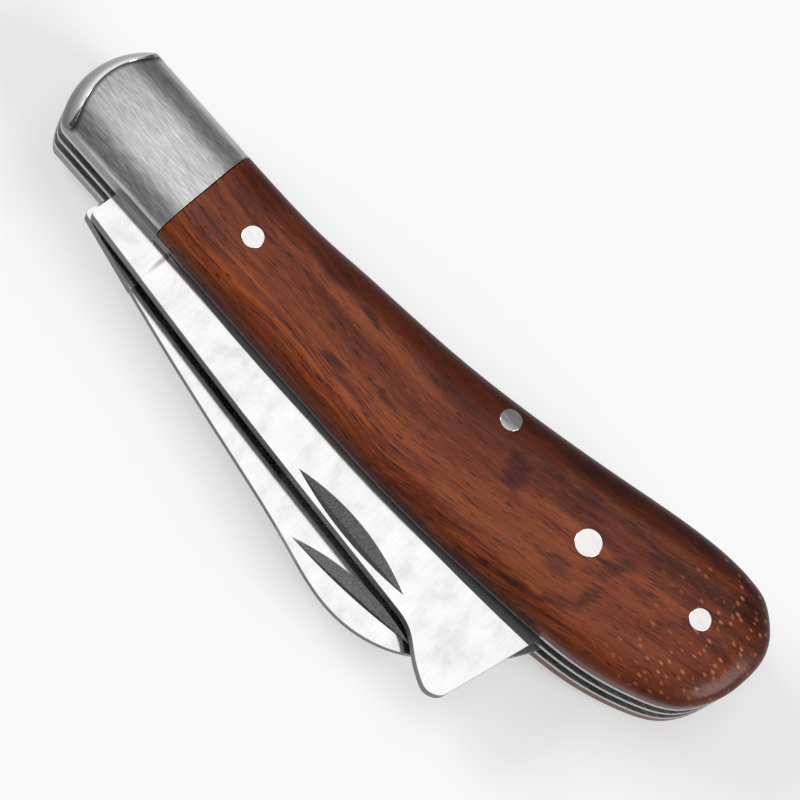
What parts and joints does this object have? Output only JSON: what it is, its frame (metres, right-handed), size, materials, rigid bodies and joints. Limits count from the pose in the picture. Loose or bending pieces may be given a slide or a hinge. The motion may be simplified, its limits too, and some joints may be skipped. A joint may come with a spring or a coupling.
{
  "type": "folding whittling knife",
  "caption": "Closed folding whittling knife with a flared bark-lifter blade over a sheepfoot blade, steel bolsters and pinned rosewood scales.",
  "frame": {"origin": "middle of the underside of the whole knife's box, lying on its bottom scale with both blades closed", "axes": "+X from the bolster and pivot end towards the butt, +Y towards the back where the springs are, +Z from the bottom scale to the top scale"},
  "size_m": [0.1027, 0.0386, 0.0148],
  "materials": {
    "rosewood": "satin oiled rosewood, lengthwise grain with dark streaks and fine pores",
    "bolster_steel": "brushed lengthwise, front bevel polished",
    "blade_steel": "fine satin, ground nail nicks and edges",
    "liner_steel": "fine satin",
    "spring_steel": "fine satin, back ground flush with the liners",
    "pin_steel": "ground flush with the wood and polished"
  },
  "bodies": {
    "handle": {"top_scale": "rosewood", "bottom_scale": "rosewood", "top_bolster": "bolster_steel", "bottom_bolster": "bolster_steel", "top_liner": "liner_steel", "centre_liner": "liner_steel", "bottom_liner": "liner_steel", "top_spring": "spring_steel", "bottom_spring": "spring_steel", "pivot_pin": "bolster_steel", "spring_pin": "pin_steel", "centre_rivet": "pin_steel", "butt_pin": "pin_steel", "top_front_pin": "pin_steel", "bottom_front_pin": "pin_steel"},
    "bark_lifter_blade": {"bark_lifter_blade": "blade_steel"},
    "sheepfoot_blade": {"sheepfoot_blade": "blade_steel"}
  },
  "joints": [
    {"name": "bark_lifter_pivot", "type": "hinge", "parent": "handle", "child": "bark_lifter_blade", "pos_m": [-0.0441, -0.001, 0.0089], "axis": [0, 0, -1], "range_deg": [0, 176], "deforming": ["top_spring"]},
    {"name": "sheepfoot_pivot", "type": "hinge", "parent": "handle", "child": "sheepfoot_blade", "pos_m": [-0.0441, -0.001, 0.0059], "axis": [0, 0, -1], "range_deg": [0, 170], "deforming": ["bottom_spring"]}
  ]
}
